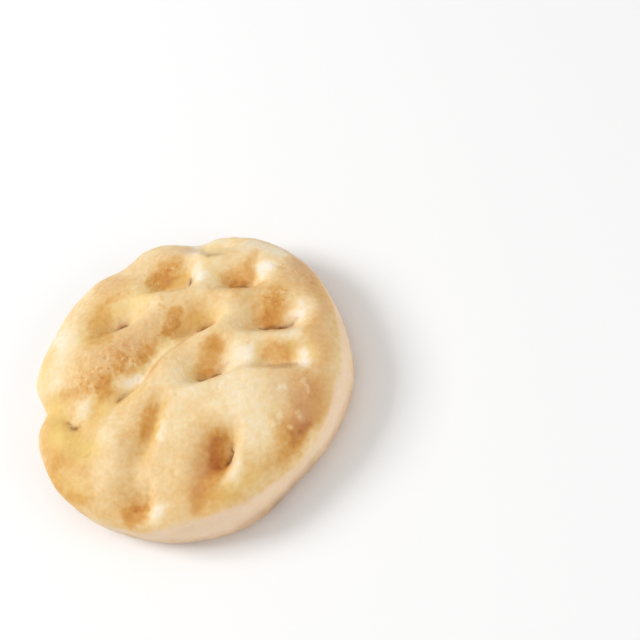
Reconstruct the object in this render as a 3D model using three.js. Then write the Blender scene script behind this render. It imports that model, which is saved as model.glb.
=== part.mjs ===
// Focaccia roll: a round, flat loaf, dimpled all over with the fingertips before baking.
// Millimetres, +Z up, with the origin under the middle of the flat base.
import * as THREE from "three";

// The loaf before it is dimpled
const RIM_RADII = [67.1, 66, 67.5, 67.3, 66, 67, 67.5, 66.8, 68, 67, 67, 65.5, 65.2, 66, 63.5, 65.2];
const LOAF_HEIGHT = 30;
const WAIST_HEIGHT = 11; // where the wall bulges furthest
const UNDERCUT_DEPTH = 18; // how far below the waist the wall would close if the tray didn't flatten it
const SHOULDER_POWER = 3.2; // 2 is an ellipse, more is squarer
const FOOT_POWER = 3;

// Creases in the rim: angle and half width in degrees, depth in mm
const RIM_CREASES = [
  { angle: 93, depth: 3.2, width: 8.5 },
  { angle: 122, depth: 2.8, width: 8 },
  { angle: 188.5, depth: 4.8, width: 9 },
];

// Finger dimples: the middle, length and turn of the pit's line, its depth, and how far the dent reaches on each side
const DIMPLES = [
  { x: -6.5, y: 39.5, length: 8, turn: 0, depth: 8, left: 16, right: 10, below: 6.5, above: 17 },
  { x: 24, y: 36.5, length: 6, turn: 0, depth: 7, left: 15, right: 11, below: 6, above: 16 },
  { x: 8.5, y: 57.5, length: 8, turn: 0, depth: 6, left: 11, right: 12, below: 5, above: 12 },
  { x: -28.5, y: 23.5, length: 6, turn: 22, depth: 8, left: 16, right: 16, below: 7, above: 17 },
  { x: 7, y: 19, length: 10, turn: 15, depth: 6, left: 16, right: 14, below: 5.5, above: 13 },
  { x: 38, y: 16.5, length: 10, turn: 0, depth: 8.5, left: 15, right: 14, below: 6.5, above: 18 },
  { x: 15.5, y: -3.5, length: 8, turn: 20, depth: 8, left: 13, right: 14, below: 6.5, above: 17 },
  { x: 42, y: -1.2, length: 8, turn: 0, depth: 7, left: 14, right: 13, below: 5.5, above: 14 },
  { x: -45, y: -18.5, length: 4, turn: -40, depth: 4, left: 12, right: 14, below: 8, above: 13 },
  { x: 23.5, y: -36.5, length: 7, turn: 78, depth: 9, left: 12, right: 10, below: 8, above: 15 },
  { x: -7, y: -25.5, length: 14, turn: 75, depth: 3.5, left: 15, right: 10, below: 6.5, above: 11 },
  { x: -10, y: -55, length: 3, turn: 0, depth: 6, left: 15, right: 5.5, below: 11, above: 13 },
  { x: -34, y: -31, length: 5, turn: 35, depth: 2.5, left: 11, right: 8, below: 5, above: 12 },
  { x: -60, y: -10, length: 4, turn: 0, depth: 5, left: 12, right: 22, below: 9, above: 10 },
  { x: -13, y: -42, length: 14, turn: 85, depth: 1.6, left: 8, right: 8, below: 12, above: 10 },
  { x: 14, y: -53, length: 10, turn: 85, depth: 1.5, left: 9, right: 9, below: 9, above: 9 },
];
const PIT_ROUNDING = 0.25; // of the dent's reach

// The fold where one side of the dough has risen over the other, across the middle of the top
const FOLD_LINE = [
  [10, 19], [3, 14.5], [-3, 11], [-8, 7.5], [-11.5, 3], [-14, -2], [-18, -7], [-24, -11.5], [-33, -15],
];
const FOLD_DEPTH = 4;
const FOLD_REACH_FAR = 12; // on the side that lies lower
const FOLD_REACH_NEAR = 8; // under the lip

// Swellings of the crumb between the dents
const SWELLS = [
  { x: -34, y: 4, height: 3, reach: 13 },
  { x: -8, y: 30, height: 1, reach: 9 },
  { x: 20, y: 27, height: 1.5, reach: 10 },
  { x: -10, y: 56, height: 1.5, reach: 10 },
  { x: 2, y: -8, height: 2.5, reach: 17 },
  { x: 36, y: -17, height: 3, reach: 17 },
  { x: -25, y: -38, height: 1.5, reach: 16 },
  { x: 8, y: -48, height: 1, reach: 12 },
];

// Mesh fineness
const SEGMENTS = 132;
const MERIDIAN_ROWS = 44;
const PROFILE_STEPS = 60;
const FOLD_STEPS = 48;
const BASE_RING_SHARE = 0.5; // of the foot's radius
const INDICES_PER_PATCH = 6; // two triangles

const MEAN_RADIUS = RIM_RADII.reduce((sum, radius) => sum + radius, 0) / RIM_RADII.length;

// Rim radius at an angle: a closed Catmull-Rom curve through the radii, which stand at equal steps round the loaf, less
// a gaussian for each crease.
function rimRadius(angle) {
  const count = RIM_RADII.length;
  const turn = THREE.MathUtils.euclideanModulo(angle / (2 * Math.PI), 1);
  const step = Math.floor(turn * count);
  const [before, start, end, after] = [-1, 0, 1, 2].map((k) => RIM_RADII[(step + k + count) % count]);
  const t = turn * count - step;
  const square = t * t;
  const smooth =
    start +
    0.5 * t * (end - before) +
    0.5 * square * (2 * before - 5 * start + 4 * end - after) +
    0.5 * square * t * (3 * (start - end) + after - before);
  return RIM_CREASES.reduce(
    (radius, crease) => radius - crease.depth * Math.exp(-(((turn * 360 - crease.angle) / crease.width) ** 2)),
    smooth,
  );
}

// Half outline of the undented loaf from the base's middle to the top's middle: a squared ellipse above the waist,
// another below it, cut off flat by the tray.
function loafProfile() {
  const rise = LOAF_HEIGHT - WAIST_HEIGHT;
  const outline = [];
  for (let i = 0; i < PROFILE_STEPS; i++) {
    const drop = WAIST_HEIGHT * (1 - i / PROFILE_STEPS);
    const share = (1 - (drop / UNDERCUT_DEPTH) ** FOOT_POWER) ** (1 / FOOT_POWER);
    outline.push(new THREE.Vector2(MEAN_RADIUS * share, WAIST_HEIGHT - drop));
  }
  for (let i = 0; i <= PROFILE_STEPS; i++) {
    const angle = ((Math.PI / 2) * i) / PROFILE_STEPS;
    const across = Math.max(Math.cos(angle), 0) ** (2 / SHOULDER_POWER);
    const up = Math.sin(angle) ** (2 / SHOULDER_POWER);
    outline.push(new THREE.Vector2(MEAN_RADIUS * across, WAIST_HEIGHT + rise * up));
  }
  const footRadius = outline[0].x;
  const base = [new THREE.Vector2(0, 0), new THREE.Vector2(footRadius * BASE_RING_SHARE, 0)];
  return [...base, ...new THREE.SplineCurve(outline).getSpacedPoints(MERIDIAN_ROWS)];
}

// A dent's cross-section: 1 in the pit and 0 at its reach, with rounded shoulders and a narrow floor.
function dentShare(distance) {
  const rounded = Math.hypot(distance, PIT_ROUNDING) - PIT_ROUNDING;
  return Math.max(0, 1 - rounded) ** 2;
}

// How deep one fingertip pressed the top at a point: the distance to the pit's line, counted in the reach of the side
// that the point is on.
function dimpleDepth(dimple, x, y) {
  const turn = THREE.MathUtils.degToRad(dimple.turn);
  const [dx, dy] = [x - dimple.x, y - dimple.y];
  const along = dx * Math.cos(turn) + dy * Math.sin(turn);
  const up = dy * Math.cos(turn) - dx * Math.sin(turn);
  const pastEnd = Math.max(Math.abs(along) - dimple.length / 2, 0);
  const distance = Math.hypot(
    pastEnd / (along > 0 ? dimple.right : dimple.left),
    up / (up > 0 ? dimple.above : dimple.below),
  );
  return dimple.depth * dentShare(distance);
}

const foldCurve = new THREE.SplineCurve(FOLD_LINE.map(([x, y]) => new THREE.Vector2(x, y)));
const foldPoints = foldCurve.getSpacedPoints(FOLD_STEPS);

// Depth of the fold at a point: the distance to its line, counted in the reach of the side that the point is on.
function foldDepth(x, y) {
  let nearest = Infinity;
  for (let i = 0; i < FOLD_STEPS; i++) {
    const [from, to] = [foldPoints[i], foldPoints[i + 1]];
    const [ex, ey] = [to.x - from.x, to.y - from.y];
    const [px, py] = [x - from.x, y - from.y];
    const along = THREE.MathUtils.clamp((px * ex + py * ey) / (ex * ex + ey * ey), 0, 1);
    const reach = ex * py - ey * px > 0 ? FOLD_REACH_NEAR : FOLD_REACH_FAR;
    nearest = Math.min(nearest, Math.hypot(px - along * ex, py - along * ey) / reach);
  }
  return FOLD_DEPTH * dentShare(nearest);
}

function swellHeight(swell, x, y) {
  return swell.height * Math.exp(-((x - swell.x) ** 2 + (y - swell.y) ** 2) / swell.reach ** 2);
}

// Height of the top's relief over the undented loaf.
function relief(x, y) {
  const swollen = SWELLS.reduce((sum, swell) => sum + swellHeight(swell, x, y), 0);
  const pressed = DIMPLES.reduce((sum, dimple) => sum + dimpleDepth(dimple, x, y), 0);
  return swollen - pressed - foldDepth(x, y);
}

// Splits each four-cornered patch of the turned mesh along its shorter diagonal, which runs along a steep wall rather
// than across it, so the lips of the dents come out smooth.
function splitAlongShorterDiagonals(geometry) {
  const index = geometry.getIndex();
  const place = geometry.getAttribute("position");
  const corner = (vertex) => new THREE.Vector3().fromBufferAttribute(place, vertex);
  for (let i = 0; i < index.count; i += INDICES_PER_PATCH) {
    const [a, b, d, c] = [0, 1, 2, 3].map((k) => index.getX(i + k));
    if (corner(a).distanceTo(corner(c)) < corner(b).distanceTo(corner(d))) {
      [a, b, c, a, c, d].forEach((vertex, k) => index.setX(i + k, vertex));
    }
  }
}

// The loaf: its profile turned round the axis, drawn out to the uneven rim, and pressed in from above. A press
// squeezes the whole column of dough under it in proportion, so the base stays flat.
function loafGeometry() {
  const geometry = new THREE.LatheGeometry(loafProfile(), SEGMENTS);
  geometry.rotateX(Math.PI / 2);
  const place = geometry.getAttribute("position");
  for (let i = 0; i < place.count; i++) {
    const stretch = rimRadius(Math.atan2(place.getY(i), place.getX(i))) / MEAN_RADIUS;
    const [x, y] = [place.getX(i) * stretch, place.getY(i) * stretch];
    place.setXYZ(i, x, y, place.getZ(i) * (1 + relief(x, y) / LOAF_HEIGHT));
  }
  splitAlongShorterDiagonals(geometry);
  geometry.computeVertexNormals();
  return geometry;
}

const crust = new THREE.MeshStandardMaterial({ color: "#e8c48c", roughness: 0.6, metalness: 0 });

const loaf = new THREE.Mesh(loafGeometry(), crust);
loaf.name = "focaccia";

const focaccia = new THREE.Group();
focaccia.add(loaf);

export default focaccia;
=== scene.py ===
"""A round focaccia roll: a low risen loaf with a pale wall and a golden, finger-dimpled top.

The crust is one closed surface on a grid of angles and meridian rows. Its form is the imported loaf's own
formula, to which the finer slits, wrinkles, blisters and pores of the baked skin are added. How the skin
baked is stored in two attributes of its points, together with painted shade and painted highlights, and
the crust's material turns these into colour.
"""
import math

import bpy
import numpy as np
from mathutils import Matrix, Vector


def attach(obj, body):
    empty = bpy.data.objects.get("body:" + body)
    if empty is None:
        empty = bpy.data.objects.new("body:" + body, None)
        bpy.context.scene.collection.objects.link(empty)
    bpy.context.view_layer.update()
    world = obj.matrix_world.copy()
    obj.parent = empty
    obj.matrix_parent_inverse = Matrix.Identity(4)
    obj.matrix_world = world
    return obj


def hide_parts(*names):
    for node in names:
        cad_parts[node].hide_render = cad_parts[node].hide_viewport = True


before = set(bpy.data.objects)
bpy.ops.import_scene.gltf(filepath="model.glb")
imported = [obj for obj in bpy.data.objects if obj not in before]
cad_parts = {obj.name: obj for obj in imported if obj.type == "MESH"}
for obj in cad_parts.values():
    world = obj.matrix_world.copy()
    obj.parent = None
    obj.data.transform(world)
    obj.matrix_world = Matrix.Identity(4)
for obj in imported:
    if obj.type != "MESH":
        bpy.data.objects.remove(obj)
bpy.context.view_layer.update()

MM = 0.001
SEED = 7

# The loaf before it is dimpled, in mm: rim radii at equal steps anticlockwise from +X
RIM_RADII = [67.1, 66, 67.5, 67.3, 66, 67, 67.5, 66.8, 68, 67, 67, 65.5, 65.2, 66, 63.5, 65.2]
MEAN_RADIUS = np.mean(RIM_RADII)
LOAF_HEIGHT = 30
WAIST_HEIGHT = 11  # where the wall bulges furthest
UNDERCUT_DEPTH = 18  # how far below the waist the wall would close if the tray didn't flatten it
SHOULDER_POWER = 3.2  # 2 is an ellipse, more is squarer
FOOT_POWER = 3

# Creases of the rim: angle in degrees, depth in mm and half width in degrees
RIM_CREASES = [(93, 3.2, 8.5), (122, 2.8, 8), (188.5, 4.8, 9)]

# Finger dimples, in mm: the pit's middle, length and turn in degrees, its depth, and how far the dent
# reaches on each side
DIMPLES = [
    dict(x=-6.5, y=39.5, length=8, turn=0, depth=8, left=16, right=10, below=6.5, above=17),
    dict(x=24, y=36.5, length=6, turn=0, depth=7, left=15, right=11, below=6, above=16),
    dict(x=8.5, y=57.5, length=8, turn=0, depth=6, left=11, right=12, below=5, above=12),
    dict(x=-28.5, y=23.5, length=6, turn=22, depth=8, left=16, right=16, below=7, above=17),
    dict(x=7, y=19, length=10, turn=15, depth=6, left=16, right=14, below=5.5, above=13),
    dict(x=38, y=16.5, length=10, turn=0, depth=8.5, left=15, right=14, below=6.5, above=18),
    dict(x=15.5, y=-3.5, length=8, turn=20, depth=8, left=13, right=14, below=6.5, above=17),
    dict(x=42, y=-1.2, length=8, turn=0, depth=7, left=14, right=13, below=5.5, above=14),
    dict(x=-45, y=-18.5, length=4, turn=-40, depth=4, left=12, right=14, below=8, above=13),
    dict(x=23.5, y=-36.5, length=7, turn=78, depth=9, left=12, right=10, below=7, above=15),
    dict(x=-7, y=-25.5, length=14, turn=75, depth=3.5, left=15, right=10, below=6.5, above=11),
    dict(x=-10, y=-55, length=3, turn=0, depth=6, left=15, right=5.5, below=11, above=13),
    dict(x=-34, y=-31, length=5, turn=35, depth=2.5, left=11, right=8, below=5, above=12),
    dict(x=-60, y=-10, length=4, turn=0, depth=5, left=12, right=22, below=9, above=10),
    dict(x=-13, y=-42, length=14, turn=85, depth=1.6, left=8, right=8, below=12, above=10),
    dict(x=14, y=-53, length=10, turn=85, depth=1.5, left=9, right=9, below=9, above=9),
]
PIT_ROUNDING = 0.18  # of the dent's reach

# The fold where one side of the dough has risen over the other, in mm
FOLD_LINE = [
    (10, 19), (3, 14.5), (-3, 11), (-8, 7.5), (-11.5, 3), (-14, -2), (-18, -7), (-24, -11.5), (-33, -15),
]
FOLD_DEPTH = 4
FOLD_REACH_FAR = 12  # on the side that lies lower
FOLD_REACH_NEAR = 8  # under the lip

# Swellings of the crumb between the dents, in mm: x, y, height and reach
SWELLS = [
    (-34, 4, 3, 13), (-8, 30, 1, 9), (20, 27, 1.5, 10), (-10, 56, 1.5, 10),
    (2, -8, 2.5, 17), (36, -17, 3, 17), (-25, -38, 1.5, 16), (8, -48, 1, 12),
]

# Slits torn at the bottom of the dents, in mm, and the painted shade that darkens them and, more softly, the
# skin beside them
SLITS = [
    [(-0.2, 38.4), (0.6, 40.2), (0.8, 42.6)],
    [(19.5, 36.8), (23, 36.3), (27, 36.6)],
    [(-31, 22.4), (-28.8, 23.8), (-26.2, 24.8)],
    [(3.5, 18.6), (8, 20.2), (13, 21.6)],
    [(31.5, 17), (38, 16.7), (44, 17.2)],
    [(9, -5.2), (12.5, -4.9), (17, -3)],
    [(-46.8, -17.2), (-45, -19), (-43.6, -19.8)],
    [(-44.4, -20.4), (-42.2, -22), (-41.2, -20.4)],
    [(24.2, -32.5), (24, -36.5), (22, -41)],
    [(-25, -12.8), (-22, -10.8), (-19.5, -9)],
]
SLIT_DEPTH = 0.8
SLIT_REACH = 1.15
SLIT_SHADE_TINT = 0.75
HALO_REACH = 3.2
HALO_SHADE_TINT = 0.22

# A slit gapes in places and closes in others: how its reach and its darkness follow the gape's noise
SLIT_OPENING = dict(mean=0.9, change=0.7, least=0.3, most=1.5)
SLIT_FADING = dict(mean=0.8, change=0.4, least=0.3, most=1)

# Soft creases of the skin, in mm, darkened along them with painted shade
CREASES = [
    [(3.5, 55), (7.5, 52), (11.5, 51.4), (15, 52.6)],
    [(5, 15), (1, 10), (-3, 7), (-6, 4), (-8.5, 0.5), (-11, -3.5), (-15, -6.5), (-19, -8.8)],
    [(-36, -35.2), (-33.5, -34.6), (-31.8, -32.2)],
]
CREASE_DEPTH = 0.5
CREASE_REACH = 2
CREASE_SHADE_TINT = 0.24

# Slits and creases narrow over this many mm towards their ends, to this share of their reach
END_TAPER = 2.5
END_WIDTH = 0.2

# Blisters and pores of the skin, in mm: x, y, height or depth, and reach
BLISTERS = [
    (53.5, -12.5, 0.7, 1.5), (55.5, -15.5, 0.6, 1.2), (54.5, -17.5, 0.5, 1.0), (46.5, -13.8, 0.5, 1.5),
    (50.5, -24.5, 0.7, 1.5), (51.5, -27.5, 0.7, 1.2), (49.5, -29.5, 0.5, 1.2), (43, -27.5, 0.5, 1.5),
    (-42, 3, 0.4, 1.2), (-44, -5, 0.4, 1.2), (-38, 9, 0.4, 1.2), (-27, 6, 0.4, 1.0),
]
PORES = [
    (32, -13, 0.5, 1.6), (37, -13.5, 0.4, 1.4), (24, -19, 0.4, 1.4), (43, -25, 0.5, 1.6),
    (25.5, -22.5, 0.4, 1.4), (16.5, -56.5, 0.7, 0.8), (-8, -16.5, 0.6, 0.9), (-29, 5.5, 0.7, 0.9),
    (-20, 4.5, 0.6, 0.8), (30.5, 7, 0.6, 0.7),
]

# Pores scattered over the top, in mm: how many, how far out, and the least and most depth and reach
SCATTERED_PORES = 90
SCATTERED_RADIUS = 60
SCATTERED_DEPTHS = (0.14, 0.49)
SCATTERED_REACHES = (0.49, 1.12)

# Baking of the top as soft strokes, in mm: from x and y, to x and y, reach and strength. Besides browning
# they paint shade into the dents and highlights onto their lit walls. They are placed as they show from the
# photo's side on the level of the top, which a point lower down meets further along the line of sight.
TOP_LEVEL = 28
SIGHT_DRIFT = (0.454, -0.533)  # the line of sight's run in x and y for each mm that it rises
WASH_POWER = 2  # fades softly
CORE_POWER = 5  # has a firm edge
FACING_BLEND = 0.25  # cosine of the angle to the line of sight at which skin counts as facing it

# Washes of brown, or of paler skin where the strength is negative. The brown in the dents is browning and
# painted shade. The palest spots, on the dents' walls that face the key softbox, are pale dough and painted
# highlights. The pale washes on the upper rim and in the top notch paint light over their shade.
TOAST_SHADE_AND_HIGHLIGHT_WASHES = [
    (-40, -40, -30, -50, 16, 0.08), (-45, -28, -50, -40, 12, 0.17), (-34, 2, -16, 8, 13, 0.18),
    (-45, 28, -30, 40, 9, 0.06), (12, 32, 40, 30, 8, 0.08), (57, 25, 60, 6, 7, 0.11),
    (44, -12, 45, -18, 5, -0.04), (56, -6, 56, -26, 8, 0.08), (-8, -14, -6, -18, 5, 0.1),
    (48, -38, 20, -57, 8, 0.08), (-16, -34, -14, -46, 8, 0.03), (13, -46, 13, -60, 7, 0.08),
    (-52, -3, -48, 18, 6, -0.14), (28, -12, 34, -28, 11, -0.14), (0, -4, 6, -14, 9, -0.14),
    (-26, -26, -24, -46, 6, -0.1), (3, -28, 1, -46, 5, -0.06), (10, -18, 14, -28, 5, 0.06),
    (-44, -8, -34, -8, 7, 0.1), (-46, -50, -34, -56, 6, 0.14), (-24, 50, -12, 55, 6, -0.06),
    (-12, 43, -6, 46, 9, 0.1), (17, 39, 26, 40, 8, 0.08), (48, 37, 55, 32, 7, 0.08),
    (-36, 20, -35, 26, 7, 0.1), (-24, 29, -17, 32, 6, -0.16), (14, 22, 19, 23, 5, -0.12),
    (37.5, 18, 39, 26, 7, 0.17), (41, 2, 44, 2, 8, 0.06), (13, 0, 15, 5, 7, 0.1),
    (-10, -20, -12, -33, 7, 0.1), (18.5, -33, 17.5, -46, 6, 0.14), (20, -32, 19.5, -44, 5, 0.24),
    (23, -34, 23, -43, 4, 0.12), (-12, -57, -8, -60, 7, 0.09), (-46, -24, -42, -34, 8, 0.14),
    (-40, 39, -31, 43, 4, 0.08), (33, 9, 49, 9.4, 2.6, -0.16), (15, -48, 15, -61, 4.5, 0.1),
    (54, -29, 52, -34, 4.5, 0.06), (47, -32, 48, -43, 6, 0.09), (46, -28, 45, -33, 4, 0.08),
    (-55, 18, -46, 32, 4, -0.1), (-42, 37, -28, 46, 3, -0.06), (-6, 53.5, 4, 54, 4, -0.12),
    (9, 35, 13, 44, 4.5, -0.2), (24, 49, 30, 52, 4, -0.08), (26, 54.5, 42, 47.5, 3, -0.14),
    (40, 41, 42, 46, 5, -0.1), (-18, -57, -16, -60, 5, 0.08), (-33, -41, -33, -48, 6, 0.08),
    (-42, -43, -36, -47, 4, -0.06), (33, 11.5, 38, 11.5, 2.5, -0.08), (-3.5, -16, -5.5, -26, 2.2, 0.08),
    (-52, -12, -48, -20, 6, 0.06), (5, -42, 5, -50, 6, 0.05), (10.5, -35, 10.5, -43, 4, -0.08),
    (20, -57, 22, -59, 4, 0.06), (-32, -20, -24, -13, 4, 0.12), (20, -51, 23, -54, 4, 0.08),
    (6, 56, 14, 56, 4, -0.24), (-44, 42, -58, 22, 3, -0.1), (-61, 12, -62, -4, 3, -0.08),
    (-60, -24, -50, -44, 3, -0.08), (58, -30, 57, -34, 3, 0.1), (23.5, -45, 24, -48, 2.5, 0.12),
    (50, 38, 46, 40, 4, -0.08), (22, -26, 22, -29, 4, -0.06), (-23, 4, -20, 6, 3, -0.06),
    (-11, -12, -11, -17, 2.5, -0.06), (5, 41.5, 5, 44.5, 3.4, -0.3), (34.6, 36.5, 34.8, 41, 3.4, -0.34),
    (50.5, 17, 52.5, 21.5, 4.2, -0.32), (53.6, -2.2, 53.6, -1.2, 3.4, -0.46),
    (24, 2.6, 29, 3, 4.2, -0.22), (-20, -5, -14.5, -3, 3, -0.32), (-12, 2, -3, 10.5, 2.2, -0.2),
    (-37.5, -13, -39, -18, 4.4, -0.3), (28.4, -44, 28.8, -50, 3, -0.16),
    (-1.6, -59.5, -2.4, -62.5, 3, -0.34), (-3.2, -23, -3, -30, 2.2, -0.2),
]

# Firmer patches of brown, most of them in the dents, where they are browning and painted shade, and pale dots
# on the blisters
TOAST_AND_SHADE_CORES = [
    (-5, 38.8, -0.5, 41.5, 3.4, 0.2), (-14, 40, -8.5, 40.6, 4.4, 0.25),
    (-10.5, 47.5, -5.5, 49, 3.6, 0.16), (20, 38.5, 27.5, 39, 4.8, 0.15), (29.4, 41, 29, 47.5, 2.4, 0.08),
    (21, 34.2, 26, 33.8, 1.8, 0.18), (-36, 19, -35.5, 29, 5, 0.14), (-40, 16, -31, 15.8, 2.6, 0.2),
    (-33, 34, -25, 36, 1.8, 0.1), (-3.4, 17.5, -3.6, 24.5, 3.8, 0.26), (2, 17, 6, 21, 4, 0.16),
    (39.6, 17.5, 40, 22, 5, 0.2), (33, 16, 34, 24, 3, 0.06), (63, -14, 63, -25, 5, 0.12),
    (41, 1.6, 46, 1.4, 4.8, 0.17), (13.2, -3, 14.2, 7.5, 5.2, 0.19), (11, -4.5, 15, -4, 2.2, 0.08),
    (-25, 1.5, -24.5, 6.5, 2.8, 0.14), (-30, -3, -30, -8.5, 3.4, 0.2), (-14, 6, -12, 11, 3, 0.12),
    (-47, -7, -38, -8, 2.6, 0.12), (-32.5, -11.5, -31, -16, 2.4, 0.14), (-47.5, -42, -44, -48, 3, 0.08),
    (-39, -52, -34, -54, 2.8, 0.14), (-8.5, -20, -8.5, -28, 4.2, 0.22), (57, -13, 57, -27, 7, 0.05),
    (56, -25, 53, -33, 5.5, 0.08), (54, -11, 54, -22, 5, 0.08), (54, -12, 51, -36, 7, 0.07),
    (54.5, -30, 53, -34, 3.6, 0.12), (52.5, -40, 48, -45, 3.6, 0.1), (21.5, -32, 22.5, -43, 4.8, 0.1),
    (15, -54, 15, -61, 3.2, 0.06), (25, -57, 29, -56, 2.8, 0.12), (33, -52.5, 36, -50, 2.8, 0.06),
    (41, -46, 45, -42.5, 2.8, 0.04), (-10, -57, -6.5, -57.5, 4, 0.14), (-12, -63, -7, -61.5, 4.6, 0.22),
    (31, -34, 31, -39, 2.4, 0.06), (56, -14.5, 56.6, -17.5, 1.1, -0.3),
    (54.6, -11.5, 55.4, -13, 1.1, -0.26), (52, -25, 52.6, -26.5, 1.2, -0.26),
    (53.6, -27, 54, -28.4, 0.9, -0.24), (42.5, -13.4, 46, -13.6, 0.9, -0.14),
    (45.8, -24, 44.6, -29, 0.9, -0.16), (49, -31, 49.6, -31.6, 1, -0.26),
    (42.4, -28.6, 43, -28.8, 0.9, -0.2), (-9, 33.5, -8, 32.5, 0.9, 0.16), (-9.5, 28.4, -7, 28, 0.9, 0.14),
]

# Yellow skin where oil has pooled in the dents or run from them
OIL_STROKES = [
    (8, 53.6, 14, 54, 3.4, 0.45), (-26, 29, -18, 33, 5, 0.6), (-36, 18, -36, 29, 5, 0.25),
    (2, 17, 7, 20, 4, 0.4), (13, 20, 17, 22, 4, 0.4), (-4, 39, 0, 41.5, 3.2, 0.6),
    (9, 47, 13, 42, 3.5, 0.4), (-43, 25, -42.5, 15, 2, 0.25), (-40, 16, -31, 15.8, 3, 0.3),
    (-4, 10, -8, 7, 2.5, 0.4), (-15, 0, -13.5, 1, 1.8, 0.5), (-20, -11, -16, -9, 2.4, 0.35),
    (-52, -12, -48, -24, 6, 0.6), (-32, -20, -26, -15, 4, 0.35), (-46, -28, -37, -29, 6, 0.5),
    (-39, -35, -33, -33, 5, 0.5), (-32.5, -12, -30, -16, 3, 0.4), (-45, -45, -36, -50, 6, 0.3),
    # The stroke from (4, -2) to (7, -6) also paints warm light over a dent's shaded wall
    (-3.8, -14, -5.2, -25, 1.6, 0.3), (-5.2, -25, -8.5, -37, 1.8, 0.3), (4, -2, 7, -6, 4, 0.3),
    (24, -57, 36, -51, 4, 0.4), (-58, 10, -60, -2, 3, 0.35), (57, 1, 58, -1, 2.2, 0.55),
    (49, 5, 49.5, -1, 1.6, 0.4), (34.5, 6, 34.5, -1, 1.6, 0.35), (27, -32, 28, -36, 1.8, 0.35),
]

# Ruddy skin, which is dry and less yellow than the rest
RUDDY_STROKES = [
    (56, -12, 57, -24, 7, 0.35), (52, -18, 51, -28, 5, 0.3), (48, 38, 54, 32, 6, 0.4),
    (60, 20, 61, 0, 5, 0.25), (44, -8, 44, -14, 5, 0.25), (13, -46, 13, -58, 4, 0.25),
    (-36, 42, -31, 44, 4, 0.35), (-10, 54, 2, 54, 2.5, 0.3), (16.5, -34, 16, -46, 2.5, 0.3),
    (-34, 9, -22, 12, 6, 0.25), (-14, 20, -18, 14, 5, 0.25), (54, 38, 47, 43, 3, 0.35),
]

# Thin dark lines along the dents' lips, only on the skin that faces the photo's side
SHADE_STROKES = [
    (43.5, 12.6, 48.2, 13.4, 1.1, 0.5), (48.2, 13.4, 49.4, 16, 1, 0.4), (44, 15.5, 47.5, 16.5, 1.6, 0.15),
    (39.4, -4, 50.4, -4.4, 0.9, 0.55), (17.5, -4.4, 22, -1, 1.2, 0.2), (21, 34, 27, 34, 1.6, 0.15),
    (2.2, 37.4, 2.6, 39.8, 1.1, 0.6), (-28.5, 19.6, -24.5, 21.6, 1.4, 0.45),
    (-27.4, 22, -27.2, 25, 0.9, 0.2), (-44.4, -20.4, -41.8, -22.4, 1, 0.25),
    (-42, -22.3, -40.2, -23.4, 0.8, 0.5), (-40.2, -23.4, -38.9, -22.4, 0.7, 0.4),
    (-24, -12.6, -19.5, -9.4, 1, 0.4), (6, 51.6, 9.5, 49.4, 0.8, 0.35),
    (9.5, 49.4, 15.5, 50.2, 0.8, 0.35),
]

# The foot of the near wall, darkened with painted shade where it turns under towards the floor
FOOT_SHADE_STROKES = [(62, -48, 49, -63, 3.8, 0.3), (48, -64, 34, -71, 3.4, 0.3)]

# Wrinkled skin, which is ridged and flecked
WRINKLE_STROKES = [
    (-36, 0, -20, 6, 9, 1), (-14, 41, -6, 47, 6, 0.8), (42, 44, 54, 33, 5, 0.9), (-5, 14, -5, 25, 4.5, 1),
    (54, -10, 53, -32, 7, 0.5), (36, 26, 44, 27, 4, 0.8), (-15, -56, -9, -59, 6, 0.4),
    (-48, -16, -38, -32, 7, 0.5),
]
WRINKLE_HEIGHT = 0.55  # mm
RIDGE_LEVEL = 0.5  # size of the ridges' noise at which the skin is neither raised nor sunk

# How brown the skin is without any stroke, and the evenly baked base
TOAST_LEVEL = 0.34
BASE_TOAST = 0.62
BASE_MOTTLE = 2  # times the top's
BASE_WRINKLES = 0.5

# The unbrowned wall ends about this high on the undented loaf, in mm, and rises or drops round some angles
BARE_HEIGHT = 19.5
BARE_BLEND = 1.1
BARE_RISES = [(-135, -9, 32), (140, -4, 40), (-75, 1.5, 18), (-38, -3.4, 18), (32, -4, 12)]
BARE_SHARE = 0.75  # how far the wall's colour covers the toasting, before its noise

# Noises as layers, each with its cell in mm, its amount and the step from the seed to its own
STROKE_SHAKE_X = [(5, 1.2, 0), (2, 1, 1)]
STROKE_SHAKE_Y = [(5, 1.2, 2), (2, 1, 3)]
BARE_EDGE_NOISE = [(12, 1.2, 4), (4, 0.6, 5)]
MOTTLE_NOISE = [(9, 0.07, 6), (4, 0.06, 7)]
BARE_NOISE = [(5, 0.18, 8), (2, 0.2, 9)]
SKIN_NOISE = [(11, 0.4, 10), (4, 0.15, 11), (1.7, 0.1, 14)]
RIDGE_NOISE = [(2.2, 1, 12), (1.2, 0.5, 13)]
SLIT_SHAKE_X = [(2, 0.8, 32)]
SLIT_SHAKE_Y = [(3, 0.8, 33)]
SLIT_GAPE = [(4, 1, 34)]
LINE_SHAKE = 0.3  # of the strokes' shaking, for the thin dark lines and the foot
LATTICE = 48  # cells each way before a noise repeats

# Mesh fineness
ANGLES = 512
BASE_ROWS = 22
MERIDIAN_ROWS = 165
PROFILE_STEPS = 2000
LINE_STEPS = 24
LEAST_LENGTH = 1e-9  # keeps the poles' normals from a division by nothing

# What the crust's points carry: toasted shares with painted shade and painted highlights in them, oily and
# bare shares, then ruddy and wrinkled ones, and painted shade in slits, creases, lips and at the foot
ATTRIBUTES = ("bake_and_painted_light", "skin")

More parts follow.
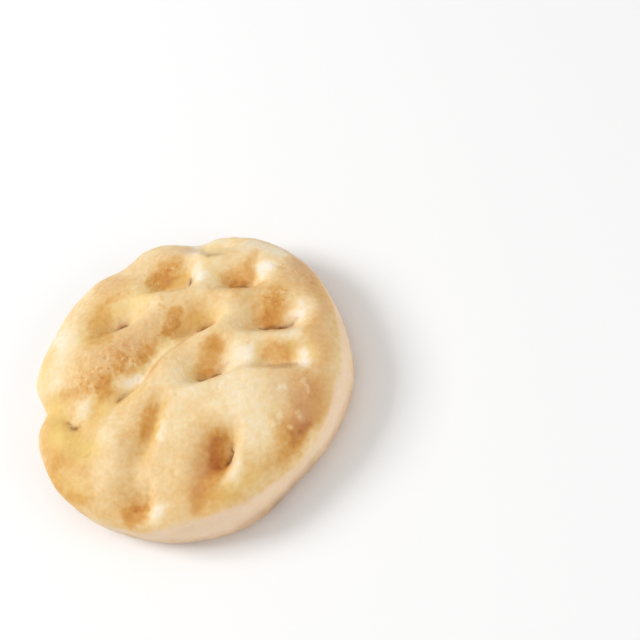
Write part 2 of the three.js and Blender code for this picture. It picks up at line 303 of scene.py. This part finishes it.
# Colours of the toasting from pale to brown, and of the tints over it; the foot's and the slits' colours are
# painted shade
TOAST_STOPS = [
    (0, "#FCF0DD"), (0.25, "#F5DAA9"), (0.45, "#EAC284"),
    (0.65, "#DBA254"), (0.85, "#C27B3A"), (1, "#9F5527"),
]
OIL_COLOUR = "#F0D07E"
RUDDY_COLOUR = "#DCAC82"
WALL_COLOUR = "#F2D7BC"
FOOT_SHADE_COLOUR = "#C0946A"
SLIT_SHADE_COLOUR = "#8E5A24"

# Patterns finer than the mesh, with sizes in mm: the speckle all over, dark flecks and then pale ones on
# wrinkled skin, the patches in which painted shade darkens the wall towards its foot, and the grain
SPECKLE_SIZE = 2
SPECKLE_TOAST = 0.3  # difference in toasting between its darkest and palest
FLECKS = [
    dict(size=2.4, detail=5, distortion=0.8, start=0.55, full=0.7, toast_and_painted_light=0.24),
    dict(size=1.8, detail=4, distortion=0, start=0.58, full=0.7, toast_and_painted_light=-0.22),
]
FOOT_PATCH_SIZE = 8
FOOT_PATCH_RISE = 10  # how much higher than it is a pale patch counts as
FOOT_FADE = (8, 17)  # heights, so counted, between which the foot's colour gives way to the wall's
GRAIN_SIZE = 1.2
GRAIN_HEIGHT = 0.3

# A Mix node's colour sockets
MIX_FROM = 6
MIX_TO = 7
MIX_RESULT = 2

# The photograph's view: the loaf's middle shows at this pixel of a square image
PHOTO_SIDE = 640
LOAF_PIXEL = (188.9, 382.0)
LOAF_MIDDLE = Vector((0, 0, 14 * MM))
CAMERA_AZIMUTH = 40.4
CAMERA_ELEVATION = 55
CAMERA_ROLL = 40.4
CAMERA_DISTANCE = 0.607
LENS = 85
SENSOR = 36

# The studio: half the floor's side in m, and each softbox's azimuth and elevation in degrees, distance and
# side in m, and watts
FLOOR_REACH = 3
FLOOR_COLOUR = "#FCFCFC"
SOFTBOXES = {"key_softbox": (-95, 42, 1.5, 0.7, 14), "fill_softbox": (70, 25, 1.5, 1.0, 6)}
WORLD_COLOUR = "#FFFFFF"
WORLD_STRENGTH = 0.53


def catmull_rom(before, start, end, after, t):
    """The smooth curve through four neighbouring values, at the share t of the way from start to end."""
    linear = 0.5 * (end - before)
    square = 0.5 * (2 * before - 5 * start + 4 * end - after)
    cube = 0.5 * (3 * (start - end) + after - before)
    return start + t * (linear + t * (square + t * cube))


def rim_radius(angle):
    """A closed Catmull-Rom curve through the rim radii at equal steps, less a gaussian for each crease."""
    radii = np.array(RIM_RADII)
    place = np.mod(angle / (2 * np.pi), 1) * len(radii)
    step = np.floor(place).astype(int)
    neighbours = (radii[(step + k) % len(radii)] for k in (-1, 0, 1, 2))
    return catmull_rom(*neighbours, place - step) - angle_bumps(RIM_CREASES, angle)


def angle_bumps(bumps, angle):
    """Sum of gaussians round the loaf, each given by its angle, height and half width, angles in degrees."""
    total = np.zeros(angle.shape)
    for middle, height, width in bumps:
        apart = (np.degrees(angle) - middle + 180) % 360 - 180
        total += height * np.exp(-(apart / width) ** 2)
    return total


def loaf_profile():
    """Half outline of the undented loaf as shares of the rim radius and heights, base middle to top middle.

    A squared ellipse below the waist, cut off flat by the tray, and another above it, respaced evenly."""
    drop = np.linspace(WAIST_HEIGHT, 0, PROFILE_STEPS, endpoint=False)
    turn = np.linspace(0, np.pi / 2, PROFILE_STEPS)
    foot_share = (1 - (drop / UNDERCUT_DEPTH) ** FOOT_POWER) ** (1 / FOOT_POWER)
    top_share = np.clip(np.cos(turn), 0, 1) ** (2 / SHOULDER_POWER)
    top_height = (LOAF_HEIGHT - WAIST_HEIGHT) * np.sin(turn) ** (2 / SHOULDER_POWER)
    share = np.concatenate([foot_share, top_share])
    height = np.concatenate([WAIST_HEIGHT - drop, WAIST_HEIGHT + top_height])
    steps = np.hypot(np.diff(share) * MEAN_RADIUS, np.diff(height))
    length = np.concatenate([[0], np.cumsum(steps)])
    even = np.linspace(0, length[-1], MERIDIAN_ROWS)
    base_share = np.linspace(0, share[0], BASE_ROWS, endpoint=False)
    shares = np.concatenate([base_share, np.interp(even, length, share)])
    heights = np.concatenate([np.zeros(BASE_ROWS), np.interp(even, length, height)])
    return shares, heights


def dent_share(distance):
    """A dent's cross-section: 1 in the pit and 0 at its reach, (1 - d) squared between, the point rounded."""
    rounded = np.hypot(distance, PIT_ROUNDING) - PIT_ROUNDING
    return np.clip(1 - rounded, 0, None) ** 2


def pit_distance(dimple, x, y):
    """Distance to a dimple's pit line, counted in the reach of the side that the point is on."""
    turn = math.radians(dimple["turn"])
    dx, dy = x - dimple["x"], y - dimple["y"]
    along = dx * math.cos(turn) + dy * math.sin(turn)
    up = dy * math.cos(turn) - dx * math.sin(turn)
    past_end = np.maximum(np.abs(along) - dimple["length"] / 2, 0)
    along_share = past_end / np.where(along > 0, dimple["right"], dimple["left"])
    up_share = up / np.where(up > 0, dimple["above"], dimple["below"])
    return np.hypot(along_share, up_share)


def spline_points(corners, count):
    """Points along an open Catmull-Rom curve through the corners, the end corners doubled."""
    points = np.array(corners, float)
    padded = np.vstack([points[:1], points, points[-1:]])
    place = np.linspace(0, len(points) - 1, count)
    step = np.minimum(place.astype(int), len(points) - 2)
    neighbours = (padded[step + k] for k in range(4))
    return catmull_rom(*neighbours, (place - step)[:, None])


def segment_distance(start, end, x, y):
    """Distance to the straight stretch from start to end."""
    edge_x, edge_y = end[0] - start[0], end[1] - start[1]
    from_x, from_y = x - start[0], y - start[1]
    along = np.clip((from_x * edge_x + from_y * edge_y) / (edge_x ** 2 + edge_y ** 2), 0, 1)
    return np.hypot(from_x - along * edge_x, from_y - along * edge_y)


def line_distance(corners, left_reach, right_reach, x, y):
    """Distance to a smooth line through the corners, counted in the reach of the side each point is on."""
    points = spline_points(corners, LINE_STEPS)
    nearest = np.full(x.shape, np.inf)
    for start, end in zip(points[:-1], points[1:]):
        edge = end - start
        on_left = edge[0] * (y - start[1]) > edge[1] * (x - start[0])
        reach = np.where(on_left, left_reach, right_reach)
        nearest = np.minimum(nearest, segment_distance(start, end, x, y) / reach)
    return nearest


def spot_sum(spots, x, y):
    """Sum of gaussians, each given by its place, height and reach."""
    total = np.zeros(x.shape)
    for middle_x, middle_y, height, reach in spots:
        total += height * np.exp(-((x - middle_x) ** 2 + (y - middle_y) ** 2) / reach ** 2)
    return total


def relief(x, y):
    """Height of the top's relief over the undented loaf: the swells less the dimples and the fold."""
    height = spot_sum(SWELLS, x, y)
    height -= FOLD_DEPTH * dent_share(line_distance(FOLD_LINE, FOLD_REACH_NEAR, FOLD_REACH_FAR, x, y))
    for dimple in DIMPLES:
        height -= dimple["depth"] * dent_share(pit_distance(dimple, x, y))
    return height


def crack_share(lines, reach, x, y):
    """How far each point lies in the cracks along some lines: 1 on a line, and 0 at its narrowing reach."""
    share = np.zeros(x.shape)
    for corners in lines:
        to_start, to_end = (np.hypot(x - end[0], y - end[1]) for end in (corners[0], corners[-1]))
        width = reach * np.clip(np.minimum(to_start, to_end) / END_TAPER, END_WIDTH, 1)
        share = np.maximum(share, dent_share(line_distance(corners, width, width, x, y)))
    return share


def smooth_step(value, start, end):
    """Rises from 0 at start to 1 at end, level at both."""
    t = np.clip((value - start) / (end - start), 0, 1)
    return t * t * (3 - 2 * t)


def smooth_noise(points, cell, seed):
    """Lattice noise from -1 to 1: seeded values at the corners of equal cubes, blended by smooth steps."""
    lattice = np.random.default_rng(seed).uniform(-1, 1, (LATTICE, LATTICE, LATTICE))
    place = points / cell
    corner = np.floor(place).astype(int)
    t = smooth_step(place - corner, 0, 1)
    total = np.zeros(points.shape[:-1])
    for offset in np.ndindex(2, 2, 2):
        weight = np.prod(np.where(offset, t, 1 - t), axis=-1)
        index = np.moveaxis((corner + offset) % LATTICE, -1, 0)
        total += weight * lattice[tuple(index)]
    return total


def noise_sum(layers, points):
    """Sum of layers of lattice noise, each from minus to plus its amount."""
    return sum(amount * smooth_noise(points, cell, SEED + step) for cell, amount, step in layers)


def noisy_share(noise, mean, change, least, most):
    """A share that follows a noise about its mean, between two limits."""
    return np.clip(mean + change * noise, least, most)


def ragged_slits(x, y):
    """How far each point lies in a slit: lines shaken by noise, wide in places and closed in others."""
    flat = np.stack([x, y, np.zeros(x.shape)], axis=-1)
    shaken_x, shaken_y = x + noise_sum(SLIT_SHAKE_X, flat), y + noise_sum(SLIT_SHAKE_Y, flat)
    gape = noise_sum(SLIT_GAPE, flat)
    reach = SLIT_REACH * noisy_share(gape, **SLIT_OPENING)
    return crack_share(SLITS, reach, shaken_x, shaken_y) * noisy_share(gape, **SLIT_FADING)


def stroke_sum(strokes, power, x, y):
    """Sum of strokes, each exp(-d^power) with d the distance from its straight line counted in its reach."""
    total = np.zeros(x.shape)
    for start_x, start_y, end_x, end_y, reach, amount in strokes:
        distance = segment_distance((start_x, start_y), (end_x, end_y), x, y)
        total += amount * np.exp(-(distance / reach) ** power)
    return total


def seen_place(points):
    """Where each point shows from the photo's side on the level of the top."""
    x, y, z = np.moveaxis(points, -1, 0)
    return x + SIGHT_DRIFT[0] * (TOP_LEVEL - z), y + SIGHT_DRIFT[1] * (TOP_LEVEL - z)


def facing_share(points):
    """How far each point's skin faces the photo's side, from 0 where it is turned away or edge-on to 1.

    The normal is the cross product of the steps to the next points round the loaf and up its meridian."""
    around = np.roll(points, -1, axis=1) - np.roll(points, 1, axis=1)
    normal = np.cross(around, np.gradient(points, axis=0))
    sight = np.array([*SIGHT_DRIFT, 1])
    length = np.linalg.norm(normal, axis=-1) * np.linalg.norm(sight)
    return smooth_step(normal @ sight / np.maximum(length, LEAST_LENGTH), 0, FACING_BLEND)


def scattered_pores():
    """Seeded pores over the top: equal chances for equal areas, so the radius grows as a square root."""
    draw = np.random.default_rng(SEED)
    radius = SCATTERED_RADIUS * np.sqrt(draw.uniform(0, 1, SCATTERED_PORES))
    angle = draw.uniform(0, 2 * np.pi, SCATTERED_PORES)
    depth = draw.uniform(*SCATTERED_DEPTHS, SCATTERED_PORES)
    reach = draw.uniform(*SCATTERED_REACHES, SCATTERED_PORES)
    return list(zip(radius * np.cos(angle), radius * np.sin(angle), depth, reach))


def skin_height(points):
    """Fine relief of the skin in mm: gentle unevenness, ridged wrinkles in patches, blisters and pores.

    A ridge stands where a noise passes through 0, so its height falls with the noise's size."""
    x, y, _ = np.moveaxis(points, -1, 0)
    ridges = RIDGE_LEVEL - sum(np.abs(noise_sum([layer], points)) for layer in RIDGE_NOISE)
    wrinkles = stroke_sum(WRINKLE_STROKES, WASH_POWER, *seen_place(points)) * ridges
    spots = spot_sum(BLISTERS, x, y) - spot_sum(PORES + scattered_pores(), x, y)
    return noise_sum(SKIN_NOISE, points) + WRINKLE_HEIGHT * wrinkles + spots


def crust_points(shares, heights):
    """Grid of points, rows by angles, in mm: the profile turned round, drawn out to the rim and pressed in.

    A press squeezes the whole column of dough under it in proportion, so the base stays flat. The skin's fine
    relief then stands out along the normal of the undented profile, and pits the base by up to the same."""
    angle = np.linspace(0, 2 * np.pi, ANGLES, endpoint=False)
    radius = shares[:, None] * rim_radius(angle)
    x, y = radius * np.cos(angle), radius * np.sin(angle)
    height = relief(x, y)
    height -= SLIT_DEPTH * ragged_slits(x, y)
    height -= CREASE_DEPTH * crack_share(CREASES, CREASE_REACH, x, y)
    points = np.stack([x, y, heights[:, None] * (1 + height / LOAF_HEIGHT)], axis=-1)
    run, rise = np.gradient(shares * MEAN_RADIUS), np.gradient(heights)
    length = np.hypot(run, rise)
    outward, upward = (rise / length)[:, None], (-run / length)[:, None]
    skin = skin_height(points)
    points[..., 0] += skin * outward * np.cos(angle)
    points[..., 1] += skin * outward * np.sin(angle)
    points[..., 2] += skin * upward
    points[..., 2] = np.maximum(points[..., 2], 0)
    return points


def bake_and_painted_light_fields(grid, undented_heights):
    """How each point of the crust baked, with painted shade and highlights, from 0 to 1, as two triples.

    The first holds toasted brown with painted shade and painted highlights in it, oily yellow and bare
    unbrowned dough, the second ruddy and wrinkled skin and the painted shade of slits, creases, lips and the
    foot. The strokes' places are shaken by noise so that their edges are ragged, and the wall below the
    shoulder is bare."""
    x, y, _ = np.moveaxis(grid, -1, 0)
    shake = np.stack([noise_sum(layers, grid) for layers in (STROKE_SHAKE_X, STROKE_SHAKE_Y)])
    seen = np.stack(seen_place(grid))
    place = seen + shake
    line_place = seen + LINE_SHAKE * shake

    mottle = noise_sum(MOTTLE_NOISE, grid)
    toast_and_painted_light = TOAST_LEVEL + mottle + stroke_sum(TOAST_SHADE_AND_HIGHLIGHT_WASHES, WASH_POWER, *place)
    toast_and_painted_light += stroke_sum(TOAST_AND_SHADE_CORES, CORE_POWER, *place)
    edge = BARE_HEIGHT + angle_bumps(BARE_RISES, np.arctan2(y, x)) + noise_sum(BARE_EDGE_NOISE, grid)
    bare = 1 - smooth_step(undented_heights[:, None], edge - BARE_BLEND, edge + BARE_BLEND)
    bare *= BARE_SHARE + noise_sum(BARE_NOISE, grid)
    washes = (OIL_STROKES, RUDDY_STROKES, WRINKLE_STROKES)
    oil, ruddy, wrinkled = (stroke_sum(strokes, WASH_POWER, *place) for strokes in washes)
    painted_shade = np.maximum(ragged_slits(x, y), HALO_SHADE_TINT * crack_share(SLITS, HALO_REACH, x, y))
    painted_shade = np.maximum(painted_shade, CREASE_SHADE_TINT * crack_share(CREASES, CREASE_REACH, x, y))
    painted_shade += facing_share(grid) * stroke_sum(SHADE_STROKES, WASH_POWER, *line_place)
    painted_shade += stroke_sum(FOOT_SHADE_STROKES, WASH_POWER, *line_place)

    on_top = (toast_and_painted_light, oil, bare, ruddy, wrinkled, SLIT_SHADE_TINT * painted_shade)
    on_base = (BASE_TOAST + BASE_MOTTLE * mottle, 0, 0, 0, BASE_WRINKLES, 0)
    is_base = (np.arange(len(grid)) < BASE_ROWS)[:, None]
    fields = [np.clip(np.where(is_base, below, above), 0, 1) for below, above in zip(on_base, on_top)]
    return np.stack(fields[:3], axis=-1), np.stack(fields[3:], axis=-1)


def point_list(grid):
    """A closed surface's grid as one row for each point: the rings, then the single points of both poles."""
    return np.vstack([grid[1:-1].reshape(-1, 3), grid[:1, 0], grid[-1:, 0]])


def closed_surface(name, grid):
    """A mesh from a grid whose rows are rings and whose first and last rows each close to one point."""
    rows, columns = grid.shape[:2]
    ring = np.arange((rows - 2) * columns).reshape(rows - 2, columns)
    beside = np.roll(ring, -1, axis=1)
    quads = np.stack([ring[:-1], beside[:-1], beside[1:], ring[1:]], axis=-1).reshape(-1, 4)
    bottom = np.full(columns, ring.size)
    foot_fan = np.stack([bottom, beside[0], ring[0]], axis=-1)
    top_fan = np.stack([bottom + 1, ring[-1], beside[-1]], axis=-1)
    mesh = bpy.data.meshes.new(name)
    faces = quads.tolist() + foot_fan.tolist() + top_fan.tolist()
    mesh.from_pydata((point_list(grid) * MM).tolist(), [], faces)
    mesh.shade_smooth()
    piece = bpy.data.objects.new(name, mesh)
    bpy.context.collection.objects.link(piece)
    return piece


def paint(piece, name, fields):
    """Stores three fields of a closed surface's grid as one colour attribute of its points."""
    values = point_list(fields)
    layer = piece.data.attributes.new(name, "FLOAT_COLOR", "POINT")
    layer.data.foreach_set("color", np.hstack([values, np.ones((len(values), 1))]).ravel())


def linear_colour(code):
    """An sRGB hex colour as linear red, green, blue and full alpha."""
    srgb = [int(code[k:k + 2], 16) / 255 for k in (1, 3, 5)]
    return tuple(c / 12.92 if c <= 0.04045 else ((c + 0.055) / 1.055) ** 2.4 for c in srgb) + (1,)


def add_node(tree, kind, inputs=None, **settings):
    """Adds a node with its settings; an input is linked where a socket is given and set where a value is."""
    node = tree.nodes.new(kind)
    for key, value in settings.items():
        setattr(node, key, value)
    for key, value in (inputs or {}).items():
        if isinstance(value, bpy.types.NodeSocket):
            tree.links.new(value, node.inputs[key])
        else:
            node.inputs[key].default_value = value
    return node


def new_material(name):
    """An empty node material."""
    material = bpy.data.materials.new(name)
    material.use_nodes = True
    material.node_tree.nodes.clear()
    return material, material.node_tree


def crust_material():
    """Baked wheat crust, which dries matt in the oven and browns unevenly.

    The eye gets pale dough, gold and toasted brown mottled together, with a yellow bloom where oil pooled.
    The toasting carries painted shade and painted highlights in the dents, and a tint darkens the slits,
    creases, lips and foot with painted shade."""
    material, tree = new_material("baked_wheat_crust")
    place = add_node(tree, "ShaderNodeTexCoord").outputs["Object"]
    shares = []
    for name in ATTRIBUTES:
        attribute = add_node(tree, "ShaderNodeAttribute", attribute_name=name)
        shares += add_node(tree, "ShaderNodeSeparateColor", {"Color": attribute.outputs["Color"]}).outputs
    toast_and_painted_light_share, oily, bare, ruddy, wrinkled, painted_shade = shares

    # Toasting with its painted shade and painted highlights, mottled by the speckle and by the flecks of
    # wrinkled skin
    speckle = add_node(tree, "ShaderNodeTexNoise", {
        "Vector": place, "Scale": 1 / (SPECKLE_SIZE * MM), "Detail": 5,
    })
    toast_and_painted_light = add_node(tree, "ShaderNodeMath", {
        0: speckle.outputs["Fac"], 1: SPECKLE_TOAST, 2: -SPECKLE_TOAST / 2,
    }, operation="MULTIPLY_ADD")
    toast_and_painted_light = add_node(tree, "ShaderNodeMath", {0: toast_and_painted_light.outputs[0], 1: toast_and_painted_light_share})
    for fleck in FLECKS:
        noise = add_node(tree, "ShaderNodeTexNoise", {
            "Vector": place,
            "Scale": 1 / (fleck["size"] * MM),
            "Detail": fleck["detail"],
            "Distortion": fleck["distortion"],
        })
        share = add_node(tree, "ShaderNodeMapRange", {
            "Value": noise.outputs["Fac"], "From Min": fleck["start"], "From Max": fleck["full"],
        })
        share = add_node(tree, "ShaderNodeMath", {
            0: share.outputs["Result"], 1: wrinkled,
        }, operation="MULTIPLY")
        toast_and_painted_light = add_node(tree, "ShaderNodeMath", {
            0: share.outputs[0], 1: fleck["toast_and_painted_light"], 2: toast_and_painted_light.outputs[0],
        }, operation="MULTIPLY_ADD")
    ramp = add_node(tree, "ShaderNodeValToRGB", {"Fac": toast_and_painted_light.outputs[0]})
    stops = ramp.color_ramp.elements
    ready = len(stops)
    for k, (at, code) in enumerate(TOAST_STOPS):
        stop = stops[k] if k < ready else stops.new(at)
        stop.position = at
        stop.color = linear_colour(code)

    # The unbrowned wall, which darkens in patches towards the foot with painted shade
    height = add_node(tree, "ShaderNodeSeparateXYZ", {"Vector": place})
    patches = add_node(tree, "ShaderNodeTexNoise", {
        "Vector": place, "Scale": 1 / (FOOT_PATCH_SIZE * MM), "Detail": 6, "Roughness": 0.65,
    })
    height = add_node(tree, "ShaderNodeMath", {
        0: patches.outputs["Fac"], 1: FOOT_PATCH_RISE * MM, 2: height.outputs["Z"],
    }, operation="MULTIPLY_ADD")
    above_foot = add_node(tree, "ShaderNodeMapRange", {
        "Value": height.outputs[0], "From Min": FOOT_FADE[0] * MM, "From Max": FOOT_FADE[1] * MM,
    })
    wall_with_foot_shade = add_node(tree, "ShaderNodeMix", {
        "Factor": above_foot.outputs["Result"],
        MIX_FROM: linear_colour(FOOT_SHADE_COLOUR),
        MIX_TO: linear_colour(WALL_COLOUR),
    }, data_type="RGBA").outputs[MIX_RESULT]

    # Tints over the toasting, one after the other, the last of them painted shade
    tints = [
        ("MIX", oily, linear_colour(OIL_COLOUR)),
        ("MIX", ruddy, linear_colour(RUDDY_COLOUR)),
        ("MIX", bare, wall_with_foot_shade),
        ("MULTIPLY", painted_shade, linear_colour(SLIT_SHADE_COLOUR)),
    ]
    colour = ramp.outputs["Color"]
    for blend, factor, tint in tints:
        colour = add_node(tree, "ShaderNodeMix", {
            "Factor": factor, MIX_FROM: colour, MIX_TO: tint,
        }, data_type="RGBA", blend_type=blend).outputs[MIX_RESULT]

    # The grain of a real crust is finer, and is drawn as coarse as it needs to show
    grain = add_node(tree, "ShaderNodeTexNoise", {
        "Vector": place, "Scale": 1 / (GRAIN_SIZE * MM), "Detail": 5,
    })
    bump = add_node(tree, "ShaderNodeBump", {
        "Height": grain.outputs["Fac"], "Distance": GRAIN_HEIGHT * MM, "Strength": 0.7,
    })
    shader = add_node(tree, "ShaderNodeBsdfPrincipled", {
        "Base Color": colour,
        "Roughness": 0.6,
        "Specular IOR Level": 0.25,
        "Subsurface Weight": 0.2,
        "Subsurface Radius": (1, 0.55, 0.25),
        "Subsurface Scale": 2.5 * MM,
        "Normal": bump.outputs["Normal"],
    })
    add_node(tree, "ShaderNodeOutputMaterial", {"Surface": shader.outputs["BSDF"]})
    return material


def floor_material():
    """Matt white studio board, which gives the eye nothing but the loaf's soft shadow."""
    material, tree = new_material("matt_white_board")
    shader = add_node(tree, "ShaderNodeBsdfPrincipled", {
        "Base Color": linear_colour(FLOOR_COLOUR), "Roughness": 0.9,
    })
    add_node(tree, "ShaderNodeOutputMaterial", {"Surface": shader.outputs["BSDF"]})
    return material


def add_floor():
    """A level square under the loaf."""
    corners = [(FLOOR_REACH * x, FLOOR_REACH * y, 0) for x, y in ((-1, -1), (1, -1), (1, 1), (-1, 1))]
    mesh = bpy.data.meshes.new("studio_floor")
    mesh.from_pydata(corners, [], [(0, 1, 2, 3)])
    floor = bpy.data.objects.new("studio_floor", mesh)
    bpy.context.collection.objects.link(floor)
    mesh.materials.append(floor_material())


def direction(azimuth, elevation):
    """Unit vector away from the loaf, turned from -Y towards +X and raised by these angles in degrees."""
    azimuth, elevation = math.radians(azimuth), math.radians(elevation)
    level = math.cos(elevation)
    return Vector((math.sin(azimuth) * level, -math.cos(azimuth) * level, math.sin(elevation)))


def camera_axes():
    """Right, up and back of a camera that looks at the loaf's middle from the photo's side, rolled."""
    azimuth, roll = math.radians(CAMERA_AZIMUTH), math.radians(CAMERA_ROLL)
    back = direction(CAMERA_AZIMUTH, CAMERA_ELEVATION)
    level = Vector((math.cos(azimuth), math.sin(azimuth), 0))
    rise = back.cross(level)
    right = math.cos(roll) * level - math.sin(roll) * rise
    up = math.sin(roll) * level + math.cos(roll) * rise
    return right, up, back


def add_camera():
    """The photo's camera, which stands off the loaf's middle and aims beside it, to show it off centre."""
    right, up, back = camera_axes()
    place = LOAF_MIDDLE + back * CAMERA_DISTANCE
    pixel = CAMERA_DISTANCE * SENSOR / LENS / PHOTO_SIDE
    aside = PHOTO_SIDE / 2 - LOAF_PIXEL[0]
    below = PHOTO_SIDE / 2 - LOAF_PIXEL[1]
    aim = LOAF_MIDDLE + (right * aside - up * below) * pixel
    forward = (aim - place).normalized()
    right = (right - forward * right.dot(forward)).normalized()
    up = right.cross(forward)
    data = bpy.data.cameras.new("photo_camera")
    data.lens = LENS
    data.sensor_width = SENSOR
    camera = bpy.data.objects.new("photo_camera", data)
    camera.matrix_world = Matrix.Translation(place) @ Matrix((right, up, -forward)).transposed().to_4x4()
    bpy.context.collection.objects.link(camera)
    bpy.context.scene.camera = camera


def add_softbox(name, azimuth, elevation, distance, side, watts):
    """A square area light aimed at the loaf's middle from the given direction."""
    back = direction(azimuth, elevation)
    data = bpy.data.lights.new(name, "AREA")
    data.size = side
    data.energy = watts
    light = bpy.data.objects.new(name, data)
    light.location = LOAF_MIDDLE + back * distance
    light.rotation_euler = back.to_track_quat("Z", "Y").to_euler()
    bpy.context.collection.objects.link(light)


def add_lights():
    """The softboxes and an even white surround, shown without a film-like curve."""
    for name, values in SOFTBOXES.items():
        add_softbox(name, *values)
    world = bpy.data.worlds.new("studio")
    world.use_nodes = True
    background = world.node_tree.nodes["Background"]
    background.inputs["Color"].default_value = linear_colour(WORLD_COLOUR)
    background.inputs["Strength"].default_value = WORLD_STRENGTH
    bpy.context.scene.world = world
    bpy.context.scene.view_settings.view_transform = "Standard"


profile_shares, profile_heights = loaf_profile()
crust_grid = crust_points(profile_shares, profile_heights)
crust = closed_surface("focaccia_crust", crust_grid)
for layer_name, layer_fields in zip(ATTRIBUTES, bake_and_painted_light_fields(crust_grid, profile_heights)):
    paint(crust, layer_name, layer_fields)
crust.data.materials.append(crust_material())
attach(crust, "root")
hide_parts("focaccia")

add_floor()
add_camera()
add_lights()
